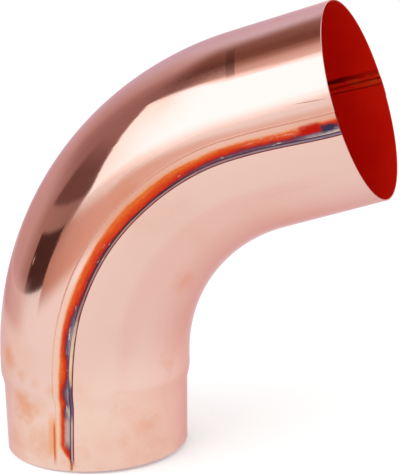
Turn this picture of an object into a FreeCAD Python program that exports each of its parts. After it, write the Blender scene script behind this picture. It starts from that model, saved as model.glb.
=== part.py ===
import FreeCAD, Part
import math
import os

import Sketcher
from FreeCAD import Placement, Rotation, Vector

# Round copper downspout elbow: two pressed half shells lapped along both sides and brazed.
# The spigot stands on the origin and points down, +Z is up its axis, and the socket leans towards +X.
# The bend lies in the XZ plane. The heel half is the outside of the bend, the throat half the inside.

# Driving dimensions in millimetres and degrees
driving_dimensions = [
    ("sheet_thickness", 0.6, "copper sheet of both half shells"),
    ("socket_bore", 100.8, "inside of the socket, over a 100 mm pipe"),
    ("spigot_outside", 98.2, "outside of the drawn-in spigot, into the next pipe"),
    ("spigot_length", 36.0, "straight spigot, from its rim to the step"),
    ("step_length", 8.0, "conical step from the spigot to the body"),
    ("leg_length", 4.5, "straight body between the step and the bend"),
    ("bend_radius", 134.5, "centre line of the bend"),
    ("bend_angle", 72.0, "turn of the bend"),
    ("socket_length", 54.5, "straight socket, from the bend to its rim"),
    ("seam_reach", 4.8, "heel half's raw edge, past the middle plane towards the throat"),
    ("lap_width", 8.4, "flat of the lap"),
    ("joggle_length", 0.9, "run of the joggle that steps the heel half over the throat half"),
    ("braze_width", 1.6, "filler beside the raw edge, over the throat half's joggle in the spigot"),
    ("lap_clearance", 0.1, "brazing gap between the lapped sheets"),
    ("edge_clearance", 0.4, "throat half's raw edge, short of the heel half's joggle"),
    ("braze_start", 4.5, "bare seam above the spigot's rim"),
]

# Directions about the tube's axis, in degrees from the throat, and the signs of its two sides
throat_direction = 0
heel_direction = 180
side_direction = 90
right_side = -1
left_side = 1


# A size with the formula that ties it to the sheet of dimensions
class Size:
    def __init__(self, value, formula):
        self.value = value
        self.formula = formula

    def __add__(self, other):
        return Size(self.value + other.value, f"({self.formula} + {other.formula})")

    def __sub__(self, other):
        return Size(self.value - other.value, f"({self.formula} - {other.formula})")

    def __mul__(self, other):
        return Size(self.value * other.value, f"({self.formula} * {other.formula})")

    def half(self):
        return Size(self.value / 2, f"({self.formula} / 2)")

    def sine(self):
        return Size(math.sin(math.radians(self.value)), f"sin({self.formula})")

    def versine(self):
        return Size(1 - math.cos(math.radians(self.value)), f"(1 - cos({self.formula}))")


doc = FreeCAD.newDocument("downspout_elbow")
sheet = doc.addObject("Spreadsheet::Sheet", "dims")
dim = {}
for row, (name, value, meaning) in enumerate(driving_dimensions, start=1):
    sheet.set(f"A{row}", meaning)
    sheet.set(f"B{row}", str(value))
    sheet.setAlias(f"B{row}", name)
    dim[name] = Size(value, f"dims.{name}")
doc.recompute()

nothing = Size(0.0, "0")
lap_step = dim["sheet_thickness"] + dim["lap_clearance"]
body_radius = dim["socket_bore"].half() + dim["sheet_thickness"]
spigot_radius = dim["spigot_outside"].half()

# Stations along the tube: place in the XZ plane and turn from upright
body_foot = dim["spigot_length"] + dim["step_length"]
bend_foot = body_foot + dim["leg_length"]
bend_end_x = dim["bend_radius"] * dim["bend_angle"].versine()
bend_end_z = bend_foot + dim["bend_radius"] * dim["bend_angle"].sine()
stations = {
    "spigot": (nothing, dim["spigot_length"], nothing),
    "body": (nothing, body_foot, nothing),
    "bend": (nothing, bend_foot, nothing),
    "socket": (bend_end_x, bend_end_z, dim["bend_angle"]),
}

# Lines of the seam, as distances from the middle plane towards the throat
heel_edge = dim["seam_reach"]
heel_flat = heel_edge - dim["lap_width"]
heel_crease = heel_flat - dim["joggle_length"]
throat_edge = heel_flat + dim["edge_clearance"]
throat_flat = heel_edge
throat_crease = throat_flat + dim["braze_width"]


# Corner of a cross-section: distance from the middle plane, radius about the tube's axis, and side
class Corner:
    def __init__(self, reach, radius, side):
        self.reach = reach
        self.radius = radius
        self.side = side
        self.angle = side * math.acos(reach.value / radius.value)
        self.point = Vector(radius.value * math.cos(self.angle), radius.value * math.sin(self.angle), 0)


def cross_section(body, station_name, corners, arcs):
    # Closed outline through the corners, by lines or by arcs about the tube's axis
    # arcs gives, for the corner that an arc starts from, the direction that the arc passes through
    sketch = body.newObject("Sketcher::SketchObject", f"{body.Name}_{station_name}_section")
    upright_plane = next(f for f in body.Origin.OriginFeatures if f.Role == "XY_Plane")
    sketch.AttachmentSupport = [(upright_plane, "")]
    sketch.MapMode = "FlatFace"
    place_x, place_z, turn = stations[station_name]
    sketch.AttachmentOffset = Placement(
        Vector(place_x.value, 0, place_z.value), Rotation(Vector(0, 1, 0), turn.value)
    )
    sketch.setExpression(".AttachmentOffset.Base.x", place_x.formula)
    sketch.setExpression(".AttachmentOffset.Base.z", place_z.formula)
    sketch.setExpression(".AttachmentOffset.Rotation.Angle", turn.formula)

    centre = Vector(0, 0, 0)
    axis = Vector(0, 0, 1)
    start_point, end_point, centre_point = range(1, 4)
    origin = (-1, start_point)
    ends = []
    for index, corner in enumerate(corners):
        following = corners[(index + 1) % len(corners)]
        if index in arcs:
            through = math.radians(arcs[index])
            start, stop = (
                math.remainder(c.angle - through, math.tau) + through for c in (corner, following)
            )
            circle = Part.Circle(centre, axis, corner.radius.value)
            sketch.addGeometry(Part.ArcOfCircle(circle, min(start, stop), max(start, stop)))
            ends.append((start_point, end_point) if start < stop else (end_point, start_point))
        else:
            sketch.addGeometry(Part.LineSegment(corner.point, following.point))
            ends.append((start_point, end_point))

    def fix(name, size, *constraint):
        number = sketch.addConstraint(Sketcher.Constraint(*constraint, size.value))
        sketch.renameConstraint(number, name)
        sketch.setExpression(f"Constraints.{name}", size.formula)

    for index, corner in enumerate(corners):
        before = (index - 1) % len(corners)
        here = (index, ends[index][0])
        sketch.addConstraint(Sketcher.Constraint("Coincident", before, ends[before][1], *here))
        fix(f"reach_{index}", corner.reach, "DistanceX", *origin, *here)
        if index in arcs:
            sketch.addConstraint(Sketcher.Constraint("Coincident", index, centre_point, *origin))
        if before in arcs:
            continue
        if index in arcs:
            fix(f"radius_{index}", corner.radius, "Radius", index)
        else:
            fix(f"radius_{index}", corner.radius, "Distance", *origin, *here)
    return sketch


def sheet_corners(outside):
    # Corners of half a tube of sheet, from its outside corners on one side
    inside = [(reach, radius - dim["sheet_thickness"]) for reach, radius in outside]
    corners = [Corner(*place, right_side) for place in outside]
    corners += [Corner(*place, left_side) for place in reversed(outside)]
    corners += [Corner(*place, left_side) for place in inside]
    corners += [Corner(*place, right_side) for place in reversed(inside)]
    return corners


def plain_section(body, station_name, direction, edge, radius):
    # Half a tube of sheet with plain edges
    return cross_section(body, station_name, sheet_corners([(edge, radius)]), {0: direction, 2: direction})


def lapped_section(body, station_name, direction, seam_lines, main_radius, lap_radius):
    # Half a tube of sheet whose two edges step in or out to the lap, or stay flush
    edge, flat, crease = seam_lines
    corners = sheet_corners([(edge, lap_radius), (flat, lap_radius), (crease, main_radius)])
    right, left = (side * side_direction for side in (right_side, left_side))
    arcs = {0: right, 2: direction, 4: left, 6: left, 8: direction, 10: right}
    if lap_radius is main_radius:
        arcs.update({1: right, 3: left, 7: left, 9: right})
    return cross_section(body, station_name, corners, arcs)


def braze_section(body, station_name, side, top_radius, toe_radius, root_radius):
    # Fillet of filler metal between the heel half's raw edge and the throat half
    corners = [
        Corner(heel_edge, top_radius, side),
        Corner(throat_crease, toe_radius, side),
        Corner(throat_flat, root_radius, side),
    ]
    arcs = {1: side * side_direction} if toe_radius is root_radius else {}
    return cross_section(body, station_name, corners, arcs)


def straight_run(body, section, length, downwards=False):
    run = body.newObject("PartDesign::Pad", f"{section.Name}_run")
    run.Profile = section
    run.Length = length.value
    run.setExpression("Length", length.formula)
    run.Reversed = downwards


def step_run(body, lower_section, upper_section):
    step = body.newObject("PartDesign::AdditiveLoft", f"{body.Name}_step")
    step.Profile = lower_section
    step.Sections = [(upper_section, ("",))]
    step.Ruled = True


def bend_run(body, section):
    # The bend's axis is a line across the bend plane, one bend radius from the tube's axis
    radius = dim["bend_radius"]
    half_axis = 10.0
    low_end, high_end = (Vector(radius.value, end, 0) for end in (-half_axis, half_axis))
    line = section.addGeometry(Part.LineSegment(low_end, high_end), True)
    for end, across in ((1, -half_axis), (2, half_axis)):
        place = section.addConstraint(Sketcher.Constraint("DistanceX", -1, 1, line, end, radius.value))
        section.renameConstraint(place, f"bend_radius_{end}")
        section.setExpression(f"Constraints.bend_radius_{end}", radius.formula)
        section.addConstraint(Sketcher.Constraint("DistanceY", -1, 1, line, end, across))
    bend = body.newObject("PartDesign::Revolution", f"{body.Name}_bend")
    bend.Profile = section
    bend.ReferenceAxis = (section, ["Axis0"])
    bend.Angle = dim["bend_angle"].value
    bend.setExpression("Angle", dim["bend_angle"].formula)


def follow_tube(name, section_at, foot):
    # One piece along the whole tube: spigot, step, leg, bend and socket
    body = doc.addObject("PartDesign::Body", name)
    body.Label = name
    spigot, foot_of_body, bend, socket = (section_at(body, station) for station in stations)
    straight_run(body, spigot, dim["spigot_length"] - foot, downwards=True)
    step_run(body, spigot, foot_of_body)
    straight_run(body, bend, dim["leg_length"], downwards=True)
    bend_run(body, bend)
    straight_run(body, socket, dim["socket_length"])
    return body


# The heel half laps over the throat half along the body, and lies flush on the drawn-in spigot
def heel_section(body, station_name):
    seam_lines = (heel_edge, heel_flat, heel_crease)
    if station_name == "spigot":
        return lapped_section(body, station_name, heel_direction, seam_lines, spigot_radius, spigot_radius)
    lap_radius = body_radius + lap_step
    return lapped_section(body, station_name, heel_direction, seam_lines, body_radius, lap_radius)


# The throat half keeps the tube's radius along the body, and ducks under the heel half in the spigot
def throat_section(body, station_name):
    seam_lines = (throat_edge, throat_flat, throat_crease)
    if station_name == "spigot":
        lap_radius = spigot_radius - lap_step
        return lapped_section(body, station_name, throat_direction, seam_lines, spigot_radius, lap_radius)
    if station_name == "body":
        return lapped_section(body, station_name, throat_direction, seam_lines, body_radius, body_radius)
    return plain_section(body, station_name, throat_direction, throat_edge, body_radius)


# The filler stands in the corner of the lap along the body, and fills the groove flush in the spigot
def seam_section(side):
    def section_at(body, station_name):
        if station_name == "spigot":
            root_radius = spigot_radius - lap_step
            return braze_section(body, station_name, side, spigot_radius, spigot_radius, root_radius)
        top_radius = body_radius + lap_step
        return braze_section(body, station_name, side, top_radius, body_radius, body_radius)

    return section_at


pieces = [
    follow_tube("heel_half_shell", heel_section, nothing),
    follow_tube("throat_half_shell", throat_section, nothing),
    follow_tube("right_seam_braze", seam_section(right_side), dim["braze_start"]),
    follow_tube("left_seam_braze", seam_section(left_side), dim["braze_start"]),
]
doc.recompute()

for item in doc.Objects:
    if "Invalid" in item.State or "Error" in item.State:
        raise RuntimeError(f"{item.Name} failed: {item.State}")
for piece in pieces:
    if piece.Shape.isNull() or not piece.Shape.isValid() or len(piece.Shape.Solids) != 1:
        raise RuntimeError(f"{piece.Label} is not one valid solid")

os.makedirs("parts", exist_ok=True)
for piece in pieces:
    piece.Shape.exportStep(f"parts/{piece.Label}.step")
    box = piece.Shape.BoundBox
    print(piece.Label, f"volume {piece.Shape.Volume:.1f} mm3, box {box}")
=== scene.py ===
import math
import bpy
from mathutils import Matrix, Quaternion, Vector, noise


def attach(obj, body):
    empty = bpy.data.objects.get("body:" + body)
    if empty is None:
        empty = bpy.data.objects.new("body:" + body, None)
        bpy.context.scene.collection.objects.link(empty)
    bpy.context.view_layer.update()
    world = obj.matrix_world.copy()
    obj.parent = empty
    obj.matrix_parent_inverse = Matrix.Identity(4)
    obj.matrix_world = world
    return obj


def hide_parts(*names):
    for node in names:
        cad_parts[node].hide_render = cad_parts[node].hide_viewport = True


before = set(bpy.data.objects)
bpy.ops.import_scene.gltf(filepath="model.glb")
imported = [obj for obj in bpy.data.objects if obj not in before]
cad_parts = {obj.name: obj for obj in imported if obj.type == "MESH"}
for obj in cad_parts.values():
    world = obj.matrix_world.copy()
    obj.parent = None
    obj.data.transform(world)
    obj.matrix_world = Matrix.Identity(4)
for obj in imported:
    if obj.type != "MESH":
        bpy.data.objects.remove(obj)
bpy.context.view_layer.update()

scene = bpy.context.scene
scene.view_settings.view_transform = "Standard"

# the tube's path, metres: foot of the spigot at the origin, bend in XZ, mouth towards +X
tube = {
    "radius": 0.05096,
    "wall": 0.0006,
    "spigotTop": 0.0345,
    "bodyFoot": 0.0445,
    "bendFoot": 0.0485,
    "bendRadius": 0.1345,
    "bendAngle": math.radians(72),
    "socketLength": 0.0545,
    "drawnIn": 0.00155,  # how much less radius the spigot has at its step
    "taper": 0.00055,    # and how much less again at its rim
    "skew": 0.0020,      # the rim is cut a little shorter on the throat side
    "columns": 480,
    "spigotRings": 12,
    "stepRings": 14,
    "legRings": 3,
    "bendSteps": 72,
    "socketRings": 24,
    "endRing": 0.0003,   # a narrow ring at each rim
}
bendTurn = tube["bendAngle"]
bendLength = tube["bendRadius"] * bendTurn
bendCentre = Vector((tube["bendRadius"], 0, tube["bendFoot"]))
mouthWay = Vector((math.sin(bendTurn), 0, math.cos(bendTurn)))
throatWay = Vector((math.cos(bendTurn), 0, -math.sin(bendTurn)))
bendEnd = bendCentre - throatWay * tube["bendRadius"]

# how far each seam strays from its plane, towards the throat: millimetres along, millimetres aside
seamStray = {
    "right": ((0, -0.6), (62, 1.4), (95, 0.9), (150, 0.6), (225, -1.2), (273, 1.2)),
    "left": ((0, 0.5), (90, -0.8), (170, 0.7), (243, -0.9), (273, 0.6)),
    "heelShare": 0.65,        # the heel's own sheet strays less than its lap
    "lap": (-0.004, -0.001),  # where the one turns into the other, metres
}


def ease(low, high, value):
    share = min(1, max(0, (value - low) / (high - low)))
    return share * share * (3 - 2 * share)


# how far along the tube a point is, and how far from the seam's plane towards the throat
def placeOnTube(point):
    foot, swing = tube["bendFoot"], tube["bendRadius"]
    if point.z <= foot:
        return point.z, point.x
    turn = math.atan2(point.z - foot, swing - point.x)
    if turn <= bendTurn:
        return foot + swing * turn, swing - math.hypot(swing - point.x, point.z - foot)
    beyond = point - bendEnd
    return foot + bendLength + beyond.dot(mouthWay), beyond.dot(throatWay)


def towardsThroat(along):
    turn = min(bendTurn, max(0, (along - tube["bendFoot"]) / tube["bendRadius"]))
    return Vector((math.cos(turn), 0, -math.sin(turn)))


def outFromTube(point):
    along, reach = placeOnTube(point)
    return (towardsThroat(along) * reach + Vector((0, point.y, 0))).normalized()


def inSpigot(along):
    return 1 - ease(tube["spigotTop"], tube["bodyFoot"], along)


def inTaper(along):
    return max(0, 1 - along / tube["spigotTop"])


def extrudeBy(move):
    bpy.ops.mesh.extrude_region_move(TRANSFORM_OT_translate={"value": move})


# pulls the selected profile up the spigot, round the bend and out to the mouth
def pullAlongTube(startAt):
    stepLow, stepHigh, foot = (tube[name] for name in ("spigotTop", "bodyFoot", "bendFoot"))
    endRing = tube["endRing"]
    stretches = (
        (startAt, startAt + endRing, 1), (startAt + endRing, stepLow, tube["spigotRings"]),
        (stepLow, stepHigh, tube["stepRings"]), (stepHigh, foot, tube["legRings"]),
    )
    for low, high, rings in stretches:
        for ring in range(rings):
            extrudeBy((0, 0, (high - low) / rings))
    bpy.ops.mesh.spin(
        steps=tube["bendSteps"], angle=bendTurn, center=bendCentre, axis=(0, -1, 0), use_auto_merge=False
    )
    for ring in range(tube["socketRings"]):
        extrudeBy(mouthWay * ((tube["socketLength"] - endRing) / tube["socketRings"]))
    extrudeBy(mouthWay * endRing)


def closeUp(piece, facing):
    bpy.ops.mesh.select_all(action="SELECT")
    bpy.ops.mesh.remove_doubles(threshold=1e-6)
    bpy.ops.mesh.normals_make_consistent(inside=False)
    bpy.ops.object.mode_set(mode="OBJECT")
    if sum(face.normal.dot(facing(face.center)) for face in piece.data.polygons) < 0:
        bpy.ops.object.mode_set(mode="EDIT")
        bpy.ops.mesh.flip_normals()
        bpy.ops.object.mode_set(mode="OBJECT")


# pushes the sheet along its normals (or along Y), by depth times what share says at each place
def press(piece, name, depth, share, direction="NORMAL"):
    group = piece.vertex_groups.new(name=name)
    for vertex in piece.data.vertices:
        group.add([vertex.index], share(vertex.co, *placeOnTube(vertex.co)), "REPLACE")
    push = piece.modifiers.new(name, "DISPLACE")
    push.vertex_group, push.strength, push.mid_level, push.direction = name, depth, 0, direction
    bpy.ops.object.modifier_apply(modifier=name)
    piece.vertex_groups.remove(piece.vertex_groups[name])


# each point keeps its place on the tube, in millimetres, for the heat tint to follow
def markPlaces(piece):
    places = piece.data.attributes.new("tubePlace", "FLOAT_VECTOR", "POINT")
    for vertex, mark in zip(piece.data.vertices, places.data):
        along, reach = placeOnTube(vertex.co)
        mark.vector = (along * 1000, reach * 1000, math.copysign(1, vertex.co.y))


def strayAt(seam, along):
    knots = seamStray[seam]
    for (low, start), (high, end) in zip(knots, knots[1:]):
        if along <= high:
            return start + (end - start) * ease(low, high, along)
    return knots[-1][1]


# turns each point about the tube's own line, so the seams stray and the tube stays round
def letSeamsStray(piece):
    heelShare = seamStray["heelShare"]
    for vertex in piece.data.vertices:
        along, reach = placeOnTube(vertex.co)
        side = -vertex.co.y
        rightShare = min(1, max(0, 0.5 + 0.5 * side / tube["radius"]))
        right, left = (strayAt(seam, along * 1000) for seam in ("right", "left"))
        aside = right * rightShare - left * (1 - rightShare)
        aside *= heelShare + (1 - heelShare) * ease(*seamStray["lap"], reach)
        turn = aside * 0.001 / tube["radius"]
        turned = reach * math.cos(turn) + side * math.sin(turn)
        vertex.co += towardsThroat(along) * (turned - reach)
        vertex.co.y = reach * math.sin(turn) - side * math.cos(turn)


def skewFoot(piece):
    for vertex in piece.data.vertices:
        share = 0.5 + 0.5 * vertex.co.x / tube["radius"]
        vertex.co.z += tube["skew"] * share * min(1, inTaper(vertex.co.z))


class Wire:
    def __init__(self, tree, socket=None):
        self.tree, self.socket = tree, socket

    def node(self, kind, settings=None, sockets=None, out=0):
        made = self.tree.nodes.new(kind)
        for name, value in (settings or {}).items():
            if name == "stops":
                for place, colour in value[1:-1]:
                    made.color_ramp.elements.new(place)
                for element, (place, colour) in zip(made.color_ramp.elements, value):
                    element.position, element.color = place, colour
            else:
                setattr(made, name, value)
        for name, value in (sockets or {}).items():
            if isinstance(value, Wire):
                self.tree.links.new(value.socket, made.inputs[name])
            else:
                made.inputs[name].default_value = value
        if isinstance(out, tuple):
            return [Wire(self.tree, made.outputs[each]) for each in out]
        return Wire(self.tree, made.outputs[out] if len(made.outputs) else None)

    def maths(self, operation, *values):
        return self.node("ShaderNodeMath", {"operation": operation}, dict(enumerate(values)))

    def __add__(self, other):
        return self.maths("ADD", self, other)

    def __radd__(self, other):
        return self.maths("ADD", other, self)

    def __sub__(self, other):
        return self.maths("SUBTRACT", self, other)

    def __rsub__(self, other):
        return self.maths("SUBTRACT", other, self)

    def __mul__(self, other):
        return self.maths("MULTIPLY", self, other)

    def __rmul__(self, other):
        return self.maths("MULTIPLY", other, self)

    def ease(self, low, high):
        return self.node(
            "ShaderNodeMapRange",
            {"interpolation_type": "SMOOTHSTEP"},
            {"Value": self, "From Min": low, "From Max": high},
        )

    # 1 on a stripe, with soft sides
    def stripe(self, low, high, soft):
        return self.ease(low - soft, low + soft) * (1 - self.ease(high - soft, high + soft))

    def mix(self, share, under, over):
        return self.node("ShaderNodeMix", {"data_type": "RGBA"}, {0: share, 6: under, 7: over}, out=2)

    def ramp(self, stops):
        low, high = stops[0][0], stops[-1][0]
        places = [((place - low) / (high - low), colour) for place, colour in stops]
        return self.node("ShaderNodeValToRGB", {"stops": places}, {0: (self - low) * (1 / (high - low))})

    # a number that changes from stop to stop
    def level(self, stops):
        numbers = [number for place, number in stops]
        low, high = min(numbers), max(numbers)
        greys = [(place, [(number - low) / (high - low)] * 3 + [1]) for place, number in stops]
        return self.ramp(greys) * (high - low) + low

    def vector(self, x, y, z):
        return self.node("ShaderNodeCombineXYZ", None, {0: x, 1: y, 2: z})

    def mottle(self, vector, scale, detail=2, roughness=0.5):
        sockets = {"Vector": vector, "Scale": scale, "Detail": detail, "Roughness": roughness}
        return self.node("ShaderNodeTexNoise", None, sockets)


# a colour given as it shows on screen, 0 to 255, as the amounts of light that a node takes
def paint(*levels):
    lights = [((level / 255 + 0.055) / 1.055) ** 2.4 if level > 10 else level / 3294 for level in levels]
    return lights + [1]


def newMaterial(name):
    material = bpy.data.materials.new(name)
    material.use_nodes = True
    material.node_tree.nodes.clear()
    return material, Wire(material.node_tree)


def finishMaterial(wire, sockets):
    shader = wire.node("ShaderNodeBsdfPrincipled", None, sockets)
    wire.node("ShaderNodeOutputMaterial", None, {"Surface": shader})


copper = {
    "clean": paint(237, 199, 186),
    "warm": paint(234, 190, 172),
    "warmClouds": (0.4, 0.75),
    "foot": paint(252, 219, 202),       # painted highlight: lighter towards the spigot's rim
    "footHighlightShare": 0.6,
    "footHighlightFade": (20, 70),               # millimetres along
    "footHighlightLean": 0.6,                    # how much further up it goes on the throat
    "stain": paint(234, 166, 126),
    "stainClouds": (0.82, 1.0),
    "stainShare": 0.3,
    "roughness": 0.05,
    "edgeTint": (0.86, 0.66, 0.68, 1),  # seen along the surface
    "drawn": paint(204, 156, 146),      # lines from the drawing of the tube
    "drawnLines": (0.58, 0.74),
    "drawnAlong": (185, 240),
    "drawnClouds": (0.35, 0.65),
    "drawnShare": 0.3,
    "cloudScale": 16.0,
    "fineScale": 70.0,
    "speckleScale": 260.0,
    # finger marks and flux stains: place in millimetres, size, strength
    "smudges": [
        ((-33, -39, 57), 10, 0.95), ((-22.5, -43.6, 32.7), 12, 1.0), ((-11.3, -47.8, 14), 15, 0.55),
        ((-30, -39, 10), 14, 0.45), ((-23, -45, 50), 6, 0.5), ((-14, -49, 48), 5, 0.4),
        ((-4, -51, 45.5), 5, 0.4), ((61, -26.5, 102), 9, 0.5), ((39, -29.5, 22), 11, 0.45),
        ((22, -44, 16), 9, 0.15), ((49, -14, 62), 14, 0.15), ((-28, -42, 64), 24, 0.22),
        ((-38, -32, 44), 16, 0.2), ((105.6, -11, 233), 4, 0.5), ((30, 40, 70), 12, 0.45),
        ((-20, 46, 90), 10, 0.45), ((70, 45, 190), 10, 0.45), ((-10, 47, 20), 12, 0.45),
        ((-14, -47, 36), 9, 0.35),
    ],
    "smudgeEdge": (-0.2, 1.1),
}


def cleanCopper(wire, along, reach):
    spot = wire.node("ShaderNodeTexCoord", out="Object")
    cloud = wire.mottle(spot, copper["cloudScale"], 3)
    fine = wire.mottle(spot, copper["fineScale"], 5, 0.65)
    speckle = wire.mottle(spot, copper["speckleScale"], 4, 0.7)
    base = wire.mix(cloud.ease(*copper["warmClouds"]), copper["clean"], copper["warm"])
    # painted highlight on the foot, reaching further up on the throat
    above = (along - reach * copper["footHighlightLean"]).ease(*copper["footHighlightFade"])
    base = wire.mix((1 - above) * copper["footHighlightShare"], base, copper["foot"])
    stain = (cloud + fine * 0.5).ease(*copper["stainClouds"]) * copper["stainShare"]
    ragged = fine * 1.9 + speckle * 0.9 - 1.4
    for place, size, strength in copper["smudges"]:
        middle = [each / 1000 for each in place]
        sockets = {0: spot, 1: middle}
        away = wire.node("ShaderNodeVectorMath", {"operation": "DISTANCE"}, sockets, out="Value")
        mark = (1 - (away * (1000 / size) + ragged).ease(*copper["smudgeEdge"])) * strength
        stain = stain.maths("MAXIMUM", stain, mark)
    base = wire.mix(stain, base, copper["stain"])
    drawn = wire.mottle(wire.vector(along * 0.011, reach * 0.5, cloud * 0.8), 1.0, 3)
    lines = drawn.ease(*copper["drawnLines"]) * along.ease(*copper["drawnAlong"])
    lines = lines * cloud.ease(*copper["drawnClouds"])
    base = wire.mix(lines * copper["drawnShare"], base, copper["drawn"])
    normal = wire.node("ShaderNodeBump", None, {"Strength": 0.25, "Distance": 0.0001, "Height": drawn})
    return base, copper["roughness"] + fine * 0.04 + stain * 0.12, normal


# heat colours on the lap: millimetres along the tube, and across it from the seam's plane
heatTint = {
    # from the coolest edge to the scaled core
    "colours": [
        (-1.2, paint(244, 188, 138)), (-0.3, paint(236, 130, 62)), (1.2, paint(226, 88, 38)),
        (2.6, paint(206, 52, 30)), (3.4, paint(140, 48, 54)), (4.2, paint(102, 84, 108)),
        (5.4, paint(150, 134, 140)), (6.6, paint(205, 186, 178)),
    ],
    # how much hotter or cooler each stretch was
    "stretches": [
        (0, -1.3), (9, -0.6), (15, 1.2), (24, 1.2), (30, 1.4), (34, 1.7), (38, 0.8), (45, 1.8), (51, 0.9),
        (56, -0.2), (62, 0.2), (68, 1.4), (76, 1.7), (87, 1.1), (96, 0.8), (130, 0.5), (150, 0.2),
        (175, -0.1), (200, -0.2), (224, 0.5), (236, 0.4), (247, 0.2), (253, 0.8), (258, 1.7), (264, 2.2),
        (273, 2.6),
    ],
    # how quickly one colour follows another across the lap
    "haste": [
        (0, 1), (12, 0.8), (28, 0.8), (34, 1.2), (40, 0.9), (50, 0.8), (58, 0.9), (86, 0.85), (98, 0.58),
        (160, 0.62), (200, 0.95), (273, 0.9),
    ],
    "edge": (-1.9, 0.3),
    "startsAlong": (4, 15),
    "startsBy": 5.5,             # how much narrower it is at the rim
    "bendAlong": (140, 192, 14),
    "bendBy": 0.7,               # how much wider it is on the bend
    "mouthAlong": (240, 266),
    "gapsAlong": (226, 254, 8),
    "gapsAcross": (0.5, 2.5),
    "gapsGrain": (-0.05, 0.2),
    "gapsShare": 0.55,
    "roughness": 0.14,
}
# what else shows on the lap, in the order that it is laid on
lapMarks = {
    # painted highlight: a lighter strip just past the crease, where the raised lap catches the light
    "creaseHighlight": {
        "across": (-3.8, -3.3), "along": (105, 255, 14), "share": 0.65, "colour": paint(250, 224, 216),
    },
    "halo": {
        "across": (-3.4, -1.0), "level": 0.55, "colour": paint(248, 196, 154),
        "less": 0.3, "lessAlong": (85, 125),
    },
    "bare": {
        "across": (1.0, 2.8), "along": (15, 30, 4), "share": 0.85, "colour": paint(206, 178, 168),
    },
    "deepRed": {
        "across": (2.2, 3.4), "along": (253.5, 264, 1.4), "share": 0.9, "colour": paint(190, 24, 14),
    },
    "scale": {
        "across": (-0.2, 3.2, 0.6), "along": (263.5, 270, 1.0), "share": 0.9, "colour": paint(50, 52, 76),
    },
    "speck": {
        "across": (1.8, 3.2), "grain": (0.16, 0.26), "share": 0.7, "colour": paint(236, 216, 208),
    },
    # painted shade: the crease's line, painted on the spigot where no crease is shaped
    "spigotCreaseShade": {
        "across": (-3.2, -2.95, 0.12), "along": (4, 40, 4), "level": 0.55, "colour": paint(196, 124, 92),
    },
    # painted shade in the crease, a dull brownish line
    "crease": {
        "across": (-4.5, -3.6, 0.2), "along": (40, 60), "share": 0.9, "colour": paint(214, 160, 130),
        "lit": paint(184, 122, 96), "litAlong": (70, 115),  # a darker painted shade, where the soft box shines on it
        "roughness": 0.6,
    },
    # an orange band beside the crease, near the foot
    "creaseSideOrange": {
        "across": (-7.6, -2.8, 1.6), "along": (10, 30, 6), "share": 0.75, "colour": paint(244, 166, 112),
    },
    "flux": {
        "across": (-4.7, -3.5, 0.4), "along": (5, 27, 4), "share": 0.95, "colour": paint(216, 112, 50),
    },
}
# painted reflections of dark things, and a scratch, on the near side
darkReflectionsAndScratch = {
    # painted reflection: a dark mottled patch that ends just before the socket
    "mottledReflection": {
        "across": (-39, -32.6, 1.4), "along": (180, 212), "ends": (227.1, 228.1), "level": 0.4, "grit": 0.6,
        "colour": paint(120, 92, 94), "roughness": 0.04,
    },
    # painted reflection: a dark bar just before the socket
    "bar": {
        "across": (-42.5, -31.2, 1.6), "along": (223, 227.6, 0.6), "share": 0.36,
        "colour": paint(78, 52, 48),
    },
    "scratch": {
        "across": (-0.2, 0.2, 0.15), "along": (256, 268, 5), "share": 0.7, "colour": paint(132, 96, 84),
        "aside": -11.5, "middle": 262, "slope": 0.07,
    },
}
# painted shade: dark line at the filler's toe
toeShade = {"across": (6.55, 6.85), "along": (1, 8), "colour": paint(130, 44, 50)}
# how fine each grain of the seam's colours is: along, across, between the two sides, and its detail
seamGrains = {
    "drift": (0.04, 0.06, 3.7, 2),
    "streak": (0.13, 0.8, 5.3, 3),
    "grit": (0.42, 1.3, 2.1, 3),
}


def seamPlace(wire):
    place = wire.node("ShaderNodeAttribute", {"attribute_name": "tubePlace"}, out="Vector")
    return wire.node("ShaderNodeSeparateXYZ", None, {0: place}, out=(0, 1, 2))


# a grain that goes up and down about zero
def seamGrain(wire, place, name):
    *scales, detail = seamGrains[name]
    spread = wire.vector(*(part * scale for part, scale in zip(place, scales)))
    return wire.mottle(spread, 1.0, detail) - 0.5


def layOn(wire, under, mark, where):
    return wire.mix(where * mark["share"], under, mark["colour"])


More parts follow.
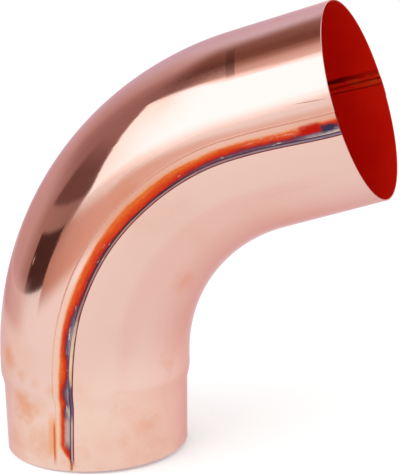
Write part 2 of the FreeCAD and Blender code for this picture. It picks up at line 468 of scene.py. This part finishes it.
def heatTheLap(wire, base, along, reach, drift, streak, grit):
    # how far in from the tint's wavering edge
    inner = reach + drift * 0.8 + streak * 0.5 + grit * 0.5
    inner = inner + along.stripe(*heatTint["bendAlong"]) * heatTint["bendBy"]
    inner = inner + along.ease(*heatTint["mouthAlong"])
    inner = inner - (1 - along.ease(*heatTint["startsAlong"])) * heatTint["startsBy"]
    gaps = (streak + grit * 0.6).ease(*heatTint["gapsGrain"]) * along.stripe(*heatTint["gapsAlong"])
    gaps = gaps * (1 - reach.ease(*heatTint["gapsAcross"]))
    cover = inner.ease(*heatTint["edge"]) * (1 - gaps * heatTint["gapsShare"])
    heat = reach * along.level(heatTint["haste"]) + along.level(heatTint["stretches"])
    heat = heat + drift * 1.4 + streak * 1.8 + grit * 1.6
    names = ("creaseHighlight", "halo", "bare", "deepRed", "scale", "speck")
    creaseHighlight, halo, bare, deepRed, scale, speck = (lapMarks[name] for name in names)
    # painted highlight just past the crease
    base = layOn(wire, base, creaseHighlight, reach.ease(*creaseHighlight["across"]) * along.stripe(*creaseHighlight["along"]))
    glow = halo["level"] - along.ease(*halo["lessAlong"]) * halo["less"]
    base = wire.mix(inner.ease(*halo["across"]) * glow, base, halo["colour"])
    base = wire.mix(cover, base, heat.ramp(heatTint["colours"]))
    where = (along + streak * 6 + grit * 3).stripe(*bare["along"])
    base = layOn(wire, base, bare, where * (inner + grit * 1.2).ease(*bare["across"]))
    ragged = along + streak * 5 + grit * 3
    where = ragged.stripe(*deepRed["along"]) * (1 - (reach + grit).ease(*deepRed["across"]))
    base = layOn(wire, base, deepRed, where * cover)
    where = ragged.stripe(*scale["along"]) * (reach + grit * 1.5).stripe(*scale["across"])
    base = layOn(wire, base, scale, where)
    where = (streak + drift * 0.5 + grit * 0.3).ease(*speck["grain"]) * reach.ease(*speck["across"])
    return layOn(wire, base, speck, where), cover


# the crease is dull and painted with shade, and on the spigot only a thin painted shade line is left of it
def creaseTheLap(wire, base, along, reach, streak, grit):
    spigotCreaseShade, crease, creaseSideOrange, flux = (lapMarks[name] for name in ("spigotCreaseShade", "crease", "creaseSideOrange", "flux"))
    where = (reach + streak * 0.5).stripe(*spigotCreaseShade["across"]) * along.stripe(*spigotCreaseShade["along"])
    base = wire.mix(where * (spigotCreaseShade["level"] + grit), base, spigotCreaseShade["colour"])
    creased = reach.stripe(*crease["across"]) * along.ease(*crease["along"]) * crease["share"]
    tone = wire.mix(along.ease(*crease["litAlong"]), crease["colour"], crease["lit"])
    base = wire.mix(creased, base, tone)
    where = (reach + streak * 2.0).stripe(*creaseSideOrange["across"]) * along.stripe(*creaseSideOrange["along"])
    base = layOn(wire, base, creaseSideOrange, where)
    where = (reach + streak).stripe(*flux["across"]) * along.stripe(*flux["along"])
    return layOn(wire, base, flux, where), creased


def markTheHeel(wire, base, along, reach, side, grit):
    mottledReflection, bar, scratch = (darkReflectionsAndScratch[name] for name in ("mottledReflection", "bar", "scratch"))
    near = 1 - side.ease(-0.5, 0.5)
    # painted reflections: a dark mottled patch and a dark bar
    mottledReflectionShare = along.ease(*mottledReflection["along"]) * (1 - along.ease(*mottledReflection["ends"])) * near
    mottledReflectionShare = mottledReflectionShare * (reach + grit).stripe(*mottledReflection["across"])
    base = wire.mix(mottledReflectionShare * (mottledReflection["level"] + grit * mottledReflection["grit"]), base, mottledReflection["colour"])
    base = layOn(wire, base, bar, along.stripe(*bar["along"]) * reach.stripe(*bar["across"]) * near)
    aside = reach - scratch["aside"] - (along - scratch["middle"]) * scratch["slope"]
    where = aside.stripe(*scratch["across"]) * along.stripe(*scratch["along"]) * near
    return layOn(wire, base, scratch, where), mottledReflectionShare


def heelCopper():
    material, wire = newMaterial("heelCopper")
    place = seamPlace(wire)
    along, reach, side = place
    drift, streak, grit = (seamGrain(wire, place, name) for name in ("drift", "streak", "grit"))
    base, roughness, normal = cleanCopper(wire, along, reach)
    base, cover = heatTheLap(wire, base, along, reach, drift, streak, grit)
    base, creased = creaseTheLap(wire, base, along, reach, streak, grit)
    base, mottledReflectionShare = markTheHeel(wire, base, along, reach, side, grit)
    roughness = roughness + cover * heatTint["roughness"] + creased * lapMarks["crease"]["roughness"]
    roughness = roughness + mottledReflectionShare * darkReflectionsAndScratch["mottledReflection"]["roughness"]
    finishMaterial(wire, {
        "Base Color": base, "Metallic": 1 - creased, "Specular Tint": copper["edgeTint"], "Normal": normal,
        "Roughness": roughness,
    })
    return material


def throatCopper():
    material, wire = newMaterial("throatCopper")
    place = seamPlace(wire)
    along, reach = place[:2]
    base, roughness, normal = cleanCopper(wire, along, reach)
    # painted shade at the filler's toe
    toe = 1 - (reach + seamGrain(wire, place, "drift") * 0.3).ease(*toeShade["across"])
    base = wire.mix(toe * along.ease(*toeShade["along"]), base, toeShade["colour"])
    finishMaterial(wire, {
        "Base Color": base, "Metallic": 1.0, "Specular Tint": copper["edgeTint"], "Normal": normal,
        "Roughness": roughness,
    })
    return material


inside = {
    "red": [0.95, 0.022, 0.004, 1],
    "deep": [0.86, 0.014, 0.003, 1],
    "deepClouds": (0.4, 0.7),
    "cloudScale": 26.0,
    "metallic": 0.9,
    "roughness": 0.45,
    # the seam from inside: millimetres across from the middle of its tint, and along
    "tintMiddle": -3.7,
    "bare": paint(235, 92, 30),
    "bareAcross": (-3.0, 3.2, 0.5),
    "bareAlong": (240, 266),
    "bareGrain": (0.38, 0.68),
    # painted shade: the dark lines where the lap steps, seen from inside, take this colour
    "scale": paint(120, 14, 4),
    "upperShadeAcross": (-4.6, -2.2, 0.7),
    "upperShadeAlong": (246, 268),
    "lowerShadeAcross": (2.7, 3.6, 0.35),
}


def insideCopper():
    material, wire = newMaterial("insideCopper")
    place = seamPlace(wire)
    along, reach = place[:2]
    drift, streak, grit = (seamGrain(wire, place, name) for name in ("drift", "streak", "grit"))
    spot = wire.node("ShaderNodeTexCoord", out="Object")
    cloud = wire.mottle(spot, inside["cloudScale"], 3)
    base = wire.mix(cloud.ease(*inside["deepClouds"]), inside["red"], inside["deep"])
    across = reach - inside["tintMiddle"] + drift * 0.5
    band = across.stripe(*inside["bareAcross"]) * (0.35 + along.ease(*inside["bareAlong"]) * 0.65)
    base = wire.mix(band * (streak + grit * 0.4 + 0.5).ease(*inside["bareGrain"]), base, inside["bare"])
    # painted shade at the lap's steps, above and below the tint
    upper = (across + streak * 1.5).stripe(*inside["upperShadeAcross"])
    upper = upper * (1.1 - along.ease(*inside["upperShadeAlong"]) * 0.7)
    lower = (across + streak * 0.6).stripe(*inside["lowerShadeAcross"]) * (0.6 + streak)
    base = wire.mix(upper.maths("MAXIMUM", upper, lower), base, inside["scale"])
    finishMaterial(wire, {
        "Base Color": base, "Metallic": inside["metallic"], "Roughness": inside["roughness"],
    })
    return material


heel = {
    "edge": 0.0048,        # raw edge, past the seam's plane towards the throat
    "creaseFrom": -0.0045,
    "creaseTo": -0.0036,
    "lapRise": 0.00069,
    "extraColumns": (-0.0045, -0.0042, -0.0039, -0.0036, 0.0044),
}
throat = {
    "edge": -0.0032,
    "duckFrom": 0.0048,
    "duckTo": 0.0064,
    "duck": 0.0007,
    "extraColumns": (0.0048, 0.0052, 0.0056, 0.0060, 0.0064),
}
sheet = {
    "waves": 0.00006,
    "waveScale": 34,
    "rimRound": 0.00012,
    "rimAngle": math.radians(60),
    "smoothAngle": math.radians(35),
}


def makeShell(name, half, keepsHeel, presses, materials):
    bpy.ops.object.select_all(action="DESELECT")
    bpy.ops.mesh.primitive_circle_add(vertices=tube["columns"], radius=tube["radius"], location=(0, 0, 0))
    piece = bpy.context.object
    piece.name = piece.data.name = name
    for material in materials:
        piece.data.materials.append(material)
    bpy.ops.object.mode_set(mode="EDIT")
    bpy.ops.mesh.select_all(action="SELECT")
    bpy.ops.mesh.bisect(
        plane_co=(half["edge"], 0, 0), plane_no=(1, 0, 0), clear_outer=keepsHeel, clear_inner=not keepsHeel
    )
    for place in half["extraColumns"]:
        bpy.ops.mesh.select_all(action="SELECT")
        bpy.ops.mesh.bisect(plane_co=(place, 0, 0), plane_no=(1, 0, 0))
    bpy.ops.mesh.select_all(action="SELECT")
    pullAlongTube(0)
    closeUp(piece, outFromTube)
    press(piece, "spigot", -tube["drawnIn"], lambda point, along, reach: inSpigot(along))
    press(piece, "taper", -tube["taper"], lambda point, along, reach: inTaper(along))
    for title, depth, share in presses:
        press(piece, title, depth, share)
    press(piece, "waves", -sheet["waves"], lambda point, along, reach:
        0.5 + 0.5 * noise.noise(point * sheet["waveScale"]))
    wall = piece.modifiers.new("wall", "SOLIDIFY")
    wall.thickness, wall.offset, wall.use_even_offset = tube["wall"], -1, True
    wall.material_offset, wall.material_offset_rim = 1, 0
    bpy.ops.object.modifier_apply(modifier="wall")
    rim = piece.modifiers.new("rim", "BEVEL")
    rim.width, rim.segments = sheet["rimRound"], 2
    rim.limit_method, rim.angle_limit = "ANGLE", sheet["rimAngle"]
    bpy.ops.object.modifier_apply(modifier="rim")
    bpy.ops.object.shade_smooth_by_angle(angle=sheet["smoothAngle"])
    markPlaces(piece)
    letSeamsStray(piece)
    skewFoot(piece)
    print(name, "has", len(piece.data.polygons), "faces")
    return piece


insideFinish = insideCopper()
heelShell = makeShell("heelShell", heel, True, [
    ("lap", heel["lapRise"], lambda point, along, reach:
        ease(heel["creaseFrom"], heel["creaseTo"], reach) * (1 - inSpigot(along))),
], [heelCopper(), insideFinish])
throatShell = makeShell("throatShell", throat, False, [
    ("duck", -throat["duck"], lambda point, along, reach:
        (1 - ease(throat["duckFrom"], throat["duckTo"], reach)) * inSpigot(along)),
], [throatCopper(), insideFinish])

bead = {
    "corners": 20,
    "width": 0.0021,
    "height": 0.00075,
    "reach": 0.00545,
    "out": 0.05130,
    "lean": math.radians(24),
    "start": 0.0045,
    "startRun": 0.0015,
    "startTaper": 0.35,
    "sink": 0.00207,     # how far it drops where the spigot is drawn in
    "lumps": 0.00016,
    "lumpScale": (260, 300),
    "smoothAngle": math.radians(50),
    # colour of its crest, by millimetres along
    "crest": [
        (0, paint(206, 160, 148)), (14, paint(196, 172, 166)), (27, paint(214, 196, 186)),
        (33, paint(104, 100, 132)), (47, paint(84, 80, 120)), (53, paint(226, 190, 160)),
        (64, paint(240, 212, 178)), (80, paint(214, 186, 170)), (95, paint(166, 134, 132)),
        (150, paint(194, 160, 152)), (195, paint(180, 148, 146)), (225, paint(162, 138, 144)),
        (273, paint(140, 138, 158)),
    ],
    "smoke": paint(110, 96, 116),
    "smokeGrain": (0.0, 0.3),
    "speckGrain": (0.1, 0.3),
    # painted shade: a dark line along the filler's upper edge, at the lap's raw edge
    "edge": paint(84, 46, 58),
    "edgeShadeAcross": (4.9, 5.6),
    "lipAlong": (52, 84, 6),      # where less of the dark edge shows
    "darkAlong": (98, 190, 10),   # and where more does
    "toeAcross": (6.0, 6.3),
    "roughness": 0.3,
}


def beadFiller():
    material, wire = newMaterial("beadFiller")
    place = seamPlace(wire)
    along, reach = place[:2]
    drift, streak = (seamGrain(wire, place, name) for name in ("drift", "streak"))
    base = along.ramp(bead["crest"])
    base = wire.mix((streak + drift * 0.5).ease(*bead["smokeGrain"]) * 0.5, base, bead["smoke"])
    base = layOn(wire, base, lapMarks["speck"], (drift - streak).ease(*bead["speckGrain"]))
    across = reach + streak * 0.5
    inFrom = across + along.stripe(*bead["lipAlong"]) * 0.5 - along.stripe(*bead["darkAlong"]) * 0.3
    # painted shade along the filler's upper edge, and at its toe
    base = wire.mix(1 - inFrom.ease(*bead["edgeShadeAcross"]), base, bead["edge"])
    base = wire.mix(across.ease(*bead["toeAcross"]), base, toeShade["colour"])
    finishMaterial(wire, {
        "Base Color": base, "Metallic": 1.0, "Roughness": bead["roughness"] + streak * 0.2,
    })
    return material


def makeBead(name, side, material):
    bpy.ops.object.select_all(action="DESELECT")
    around = math.asin(bead["reach"] / bead["out"])
    middle = (bead["reach"], side * bead["out"] * math.cos(around), bead["start"])
    bpy.ops.mesh.primitive_circle_add(
        vertices=bead["corners"], radius=0.5, location=middle,
        rotation=(0, 0, -side * (around + bead["lean"])),
    )
    piece = bpy.context.object
    piece.name = piece.data.name = name
    piece.data.materials.append(material)
    piece.scale = (bead["width"], bead["height"], 1)
    bpy.ops.object.transform_apply(location=True, rotation=True, scale=True)
    bpy.ops.object.mode_set(mode="EDIT")
    bpy.ops.mesh.select_all(action="SELECT")
    taper = bead["startTaper"]
    bpy.ops.transform.resize(value=(taper, taper, 1), center_override=middle)
    bpy.ops.mesh.edge_face_add()
    extrudeBy((0, 0, bead["startRun"]))
    bpy.ops.transform.resize(value=(1 / taper, 1 / taper, 1), center_override=middle)
    pullAlongTube(bead["start"] + bead["startRun"])
    closeUp(piece, outFromTube)
    press(piece, "sink", -side * bead["sink"], lambda point, along, reach: inSpigot(along), "Y")
    press(piece, "taper", -side * tube["taper"], lambda point, along, reach: inTaper(along), "Y")
    lumpsAlong, lumpsAcross = bead["lumpScale"]
    press(piece, "lumps", -bead["lumps"], lambda point, along, reach:
        0.5 + 0.5 * noise.noise(Vector((along * lumpsAlong, reach * lumpsAcross, side))))
    bpy.ops.object.shade_smooth_by_angle(angle=bead["smoothAngle"])
    markPlaces(piece)
    letSeamsStray(piece)
    skewFoot(piece)
    print(name, "has", len(piece.data.polygons), "faces")
    return piece


fillerFinish = beadFiller()
rightSeam = makeBead("rightSeam", -1, fillerFinish)
leftSeam = makeBead("leftSeam", 1, fillerFinish)

for piece, node, finish in (
    (heelShell, "heel_half_shell", "copper_sheet"),
    (throatShell, "throat_half_shell", "copper_sheet"),
    (rightSeam, "right_seam_braze", "braze_filler"),
    (leftSeam, "left_seam_braze", "braze_filler"),
):
    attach(piece, "root")
    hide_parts(node)
print("pieces stand for their nodes")

# studio: azimuth 0 is in front (-Y), 90 is to the right (+X), -90 to the left
studio = {
    "aim": Vector((0.045, 0, 0.115)),
    "softBox": {
        "azimuth": -58.6, "elevation": 29.9, "distance": 0.70, "roll": -54.6,
        "across": 0.079, "up": 0.274, "width": 0.648, "height": 0.682,
        "faceWidth": 0.85, "faceHeight": 0.712,
        "colour": (0.88, 0.895, 1, 1), "edgeColour": (0.91, 0.885, 0.87, 1), "edgeLead": 0.1,
        "glow": 1.9, "cornerGlow": 1.56, "corner": 0.24, "furtherOn": 0.36,
        # where the lit face ends, upper and lower side, and how softly: at its left corner and further on
        "upper": (-0.349, -0.32), "upperTurn": (-0.2, 0.0), "upperSoft": (0.02, 0.11),
        "lower": (0.165, 0.264), "lowerSoft": (0.05, 0.30),
    },
    "floorSize": 30,
    "floorDrop": 0.0002,
    "floor": paint(222, 222, 222),
    "floorSeen": 0.34,      # what the floor adds for the camera, to be white
    "floorMirrored": 0.7,   # how far the metal sees it plain white
    # painted shade and copper bounce on the floor, for the metal only: a little rosy under the bend, and
    # mauve further to the right
    "floorShadeAndBounce": {
        "place": (0.1, 0.06, 0), "fade": (0.02, 0.18),
        "rose": (0.97, 0.77, 0.76, 1), "mauve": (0.97, 0.83, 0.88, 1), "mauveFrom": (0.11, 0.155),
        "front": (-0.138, -0.104), "left": (0.07, 0.095), "right": (0.11, 0.16), "rightShare": 0.8,
        "share": 0.55,
    },
}
# walls out of sight, that only the metal's reflections see: colours by degrees round
leftWall = {
    "distance": 0.85, "from": -172, "to": -54, "foot": -0.115, "top": 1.9,
    "bands": [
        [
            (-172, (0.86, 0.82, 0.90, 1)), (-140, (0.78, 0.70, 0.78, 1)), (-125, (0.73, 0.57, 0.58, 1)),
            (-101, (0.64, 0.46, 0.45, 1)), (-87, (0.44, 0.26, 0.23, 1)), (-56, (0.34, 0.19, 0.17, 1)),
        ],
        [
            (-172, (0.82, 0.80, 0.95, 1)), (-142, (0.76, 0.72, 0.86, 1)), (-128, (0.67, 0.53, 0.56, 1)),
            (-117, (0.58, 0.39, 0.39, 1)), (-107, (0.43, 0.25, 0.235, 1)), (-96, (0.36, 0.20, 0.19, 1)),
            (-56, (0.33, 0.17, 0.15, 1)),
        ],
        [
            (-172, (0.60, 0.42, 0.42, 1)), (-125, (0.28, 0.14, 0.12, 1)), (-105, (0.21, 0.085, 0.065, 1)),
            (-92, (0.22, 0.095, 0.07, 1)), (-80, (0.44, 0.25, 0.20, 1)), (-71, (0.68, 0.46, 0.40, 1)),
            (-60, (0.85, 0.65, 0.58, 1)),
        ],
    ],
    "blends": [(0.1, 0.42), (0.88, 1.32)],  # where one band turns into the next, rise over distance
    "fadeDown": (-0.15, -0.13), "fadeUp": (2.0, 2.2), "fadeLeft": (-172, -160), "fadeRight": (-56, -54),
    "panels": [
        {"across": (-86, -50, 2.5), "low": 0.19, "high": 0.46, "soft": 0.012, "softTop": 0.13,
         "colour": (0.18, 0.085, 0.075, 1)},
        {"across": (-82, -50, 0.6), "low": -0.135, "high": 0.08, "soft": 0.008, "softTop": 0.012,
         "colour": (0.08, 0.033, 0.029, 1)},
        {"across": (-80.2, -79, 0.3), "low": -0.03, "high": -0.01, "soft": 0.004, "softTop": 0.004,
         "colour": (1.6, 1.3, 1.2, 1)},
    ],
}
leftSkirt = {
    "distance": 0.36, "from": -172, "to": -62, "foot": -0.115, "top": -0.02,
    "bands": [[(-172, (0.86, 0.78, 0.82, 1)), (-110, (0.74, 0.57, 0.58, 1)), (-62, (0.85, 0.70, 0.66, 1))]],
    "blends": [],
    "fadeDown": (-0.33, -0.25), "fadeUp": (-0.19, -0.08), "fadeLeft": (-172, -150), "fadeRight": (-86, -66),
    "panels": [],
}
frontWall = {
    "distance": 1.1, "from": -40, "to": 12, "foot": -0.115, "top": 0.35,
    "bands": [[(-40, (0.84, 0.58, 0.49, 1)), (-20, (0.86, 0.62, 0.53, 1)), (12, (1, 0.9, 0.85, 1))]],
    "blends": [],
    "fadeDown": (-0.11, -0.06), "fadeUp": (0.06, 0.2), "fadeLeft": (-40, -36), "fadeRight": (-8, 8),
    "panels": [],
}
lowWall = {
    "distance": 0.45, "from": -57, "to": -2, "foot": -0.115, "top": 0.11,
    "bands": [
        [
            (-57, (0.55, 0.30, 0.23, 1)), (-33, (0.80, 0.48, 0.38, 1)), (-22, (0.84, 0.58, 0.49, 1)),
            (-2, (0.95, 0.8, 0.74, 1)),
        ],
        [
            (-57, (0.42, 0.24, 0.20, 1)), (-48, (0.72, 0.46, 0.38, 1)), (-33, (0.84, 0.58, 0.49, 1)),
            (-22, (0.88, 0.64, 0.56, 1)), (-2, (1, 0.9, 0.85, 1)),
        ],
    ],
    "blends": [(-0.1, 0.15)],
    "fadeDown": (-0.25, -0.14), "fadeUp": (0.06, 0.22), "fadeLeft": (-57.5, -57), "fadeRight": (-15, -3),
    "panels": [],
}
rightWall = {
    "distance": 0.95, "from": 52, "to": 168, "foot": -0.115, "top": 1.1,
    "bands": [[
        (52, (0.95, 0.90, 0.90, 1)), (78, (0.78, 0.64, 0.62, 1)), (96, (0.46, 0.29, 0.26, 1)),
        (112, (0.34, 0.19, 0.16, 1)), (128, (0.56, 0.40, 0.38, 1)), (168, (0.90, 0.84, 0.86, 1)),
    ]],
    "blends": [],
    "fadeDown": (-0.121, -0.09), "fadeUp": (0.5, 1.1), "fadeLeft": (52, 74), "fadeRight": (140, 168),
    "panels": [],
}


def around(azimuth, elevation):
    turn, rise = math.radians(azimuth), math.radians(elevation)
    return Vector((math.sin(turn) * math.cos(rise), -math.cos(turn) * math.cos(rise), math.sin(rise)))


def makeSoftBox(box):
    lamp = bpy.data.lights.new("softBox", "AREA")
    lamp.shape, lamp.size, lamp.size_y = "RECTANGLE", box["width"], box["height"]
    lamp.energy = box["glow"] * math.pi * box["width"] * box["height"]
    holder = bpy.data.objects.new("softBox", lamp)
    scene.collection.objects.link(holder)
    way = around(box["azimuth"], box["elevation"])
    turned = (-way).to_track_quat("-Z", "Y") @ Quaternion((0, 0, 1), math.radians(box["roll"]))
    spot = studio["aim"] + way * box["distance"] + turned @ Vector((box["across"], box["up"], 0))
    bpy.ops.object.select_all(action="DESELECT")
    bpy.ops.mesh.primitive_plane_add(size=1, location=(0, 0, 0))
    face = bpy.context.object
    face.name = face.data.name = "softBoxFace"
    face.scale = (box["faceWidth"], box["faceHeight"], 1)
    bpy.ops.object.transform_apply(location=True, rotation=True, scale=True)
    for thing in (holder, face):
        thing.rotation_mode = "QUATERNION"
        thing.rotation_quaternion, thing.location = turned, spot
    # the lamp lights the floor, its face is what the metal mirrors
    material, wire = newMaterial("softBoxFace")
    place = wire.node("ShaderNodeTexCoord", out="Object")
    x, y = wire.node("ShaderNodeSeparateXYZ", None, {0: place}, out=(0, 1))
    left = -box["faceHeight"] / 2
    inwards = y.ease(left, left + box["furtherOn"])
    glow = box["cornerGlow"] + y.ease(left, left + box["corner"]) * (box["glow"] - box["cornerGlow"])
    upperSoft, lowerSoft, lower = (
        near + inwards * (far - near) for near, far in (box["upperSoft"], box["lowerSoft"], box["lower"])
    )
    upper = box["upper"][0] + y.ease(*box["upperTurn"]) * (box["upper"][1] - box["upper"][0])
    share = (x - upper).ease(upperSoft * -0.5, upperSoft * 0.5)
    share = share * (1 - (x - lower).ease(lowerSoft * -0.5, lowerSoft * 0.5))
    white = share * y.ease(left - box["edgeLead"], left + box["corner"])
    tone = wire.mix(white, box["edgeColour"], box["colour"])
    light = wire.node("ShaderNodeEmission", None, {"Color": tone, "Strength": glow})
    nothing = wire.node("ShaderNodeBsdfTransparent")
    both = wire.node("ShaderNodeMixShader", None, {0: share, 1: nothing, 2: light})
    wire.node("ShaderNodeOutputMaterial", None, {"Surface": both})
    face.data.materials.append(material)
    holder.visible_glossy = False
    face.visible_camera = face.visible_diffuse = face.visible_shadow = False


def makeWall(name, wall):
    bpy.ops.object.select_all(action="DESELECT")
    bpy.ops.mesh.primitive_cylinder_add(
        vertices=180, radius=wall["distance"], depth=wall["top"] - wall["foot"], end_fill_type="NOTHING",
        location=(0, 0, (wall["top"] + wall["foot"]) / 2),
    )
    card = bpy.context.object
    card.name = card.data.name = name
    bpy.ops.object.transform_apply(location=True, rotation=True, scale=True)
    bpy.ops.object.mode_set(mode="EDIT")
    for end, isStart in (("from", True), ("to", False)):
        turn = math.radians(wall[end])
        bpy.ops.mesh.select_all(action="SELECT")
        bpy.ops.mesh.bisect(
            plane_co=(0, 0, 0), plane_no=(math.cos(turn), math.sin(turn), 0),
            clear_inner=isStart, clear_outer=not isStart,
        )
    bpy.ops.object.mode_set(mode="OBJECT")
    card.location = studio["aim"]
    material, wire = newMaterial(name)
    place = wire.node("ShaderNodeTexCoord", out="Object")
    x, y, z = wire.node("ShaderNodeSeparateXYZ", None, {0: place}, out=(0, 1, 2))
    degrees = wire.maths("ARCTAN2", x, y * -1) * (180 / math.pi)
    rise = z * (1 / wall["distance"])
    glow = degrees.ramp(wall["bands"][0])
    for band, blend in zip(wall["bands"][1:], wall["blends"]):
        glow = wire.mix(rise.ease(*blend), glow, degrees.ramp(band))
    for panel in wall["panels"]:
        low, high, soft, softTop = (panel[key] for key in ("low", "high", "soft", "softTop"))
        up = rise.ease(low - soft, low + soft) * (1 - rise.ease(high - softTop, high + softTop))
        glow = wire.mix(degrees.stripe(*panel["across"]) * up, glow, panel["colour"])
    light = wire.node("ShaderNodeEmission", None, {"Color": glow, "Strength": 1.0})
    nothing = wire.node("ShaderNodeBsdfTransparent")
    share = rise.ease(*wall["fadeDown"]) * (1 - rise.ease(*wall["fadeUp"]))
    share = share * degrees.ease(*wall["fadeLeft"]) * (1 - degrees.ease(*wall["fadeRight"]))
    both = wire.node("ShaderNodeMixShader", None, {0: share, 1: nothing, 2: light})
    wire.node("ShaderNodeOutputMaterial", None, {"Surface": both})
    card.data.materials.append(material)
    card.visible_camera = card.visible_diffuse = card.visible_shadow = False


def makeFloor():
    bpy.ops.object.select_all(action="DESELECT")
    bpy.ops.mesh.primitive_plane_add(size=studio["floorSize"], location=(0, 0, -studio["floorDrop"]))
    floor = bpy.context.object
    floor.name = floor.data.name = "floor"
    material, wire = newMaterial("floorWhite")
    seen, mirrored, through = wire.node(
        "ShaderNodeLightPath", out=("Is Camera Ray", "Is Glossy Ray", "Is Transmission Ray")
    )
    coat = wire.node("ShaderNodeBsdfDiffuse", None, {"Color": studio["floor"]})
    lift = wire.node("ShaderNodeEmission", None, {"Strength": seen * studio["floorSeen"]})
    lit = wire.node("ShaderNodeAddShader", None, {0: coat, 1: lift})
    # painted shade and copper bounce, only where the metal mirrors the floor
    copperBounceShade = studio["floorShadeAndBounce"]
    place = wire.node("ShaderNodeTexCoord", out="Object")
    x, y = wire.node("ShaderNodeSeparateXYZ", None, {0: place}, out=(0, 1))
    sockets = {0: place, 1: copperBounceShade["place"]}
    away = wire.node("ShaderNodeVectorMath", {"operation": "DISTANCE"}, sockets, out="Value")
    rosy = 1 - away.ease(*copperBounceShade["fade"])
    arc = y.ease(*copperBounceShade["front"]) * x.ease(*copperBounceShade["left"])
    arc = arc * (1 - x.ease(*copperBounceShade["right"]) * copperBounceShade["rightShare"])
    rosy = rosy.maths("MAXIMUM", rosy, arc * copperBounceShade["share"])
    rose = wire.mix(x.ease(*copperBounceShade["mauveFrom"]), copperBounceShade["rose"], copperBounceShade["mauve"])
    tone = wire.mix(rosy, (1, 1, 1, 1), rose)
    white = wire.node("ShaderNodeEmission", None, {"Color": tone, "Strength": 1.0})
    inMetal = (mirrored + through) * studio["floorMirrored"]
    both = wire.node("ShaderNodeMixShader", None, {0: inMetal, 1: lit, 2: white})
    wire.node("ShaderNodeOutputMaterial", None, {"Surface": both})
    floor.data.materials.append(material)


def makeWorld():
    world = bpy.data.worlds.new("studioWhite")
    world.use_nodes = True
    world.node_tree.nodes.clear()
    wire = Wire(world.node_tree)
    sky = wire.node("ShaderNodeBackground", None, {"Color": (1, 1, 1, 1), "Strength": 1.0})
    wire.node("ShaderNodeOutputWorld", None, {"Surface": sky})
    scene.world = world


makeWorld()
makeFloor()
for name, wall in (
    ("leftWall", leftWall), ("leftSkirt", leftSkirt), ("frontWall", frontWall), ("lowWall", lowWall),
    ("rightWall", rightWall),
):
    makeWall(name, wall)
makeSoftBox(studio["softBox"])
print("studio is lit")

photoCamera = {
    "location": (0.314706, -0.762023, 0.332892),
    "turns": (75.0292, 0.9632, 18.1803),
    "lens": 122.2,
    "sensor": 36,
}
camera = bpy.data.objects.new("photoCamera", bpy.data.cameras.new("photoCamera"))
scene.collection.objects.link(camera)
camera.location = photoCamera["location"]
camera.rotation_euler = [math.radians(turn) for turn in photoCamera["turns"]]
camera.data.lens, camera.data.sensor_width = photoCamera["lens"], photoCamera["sensor"]
scene.camera = camera
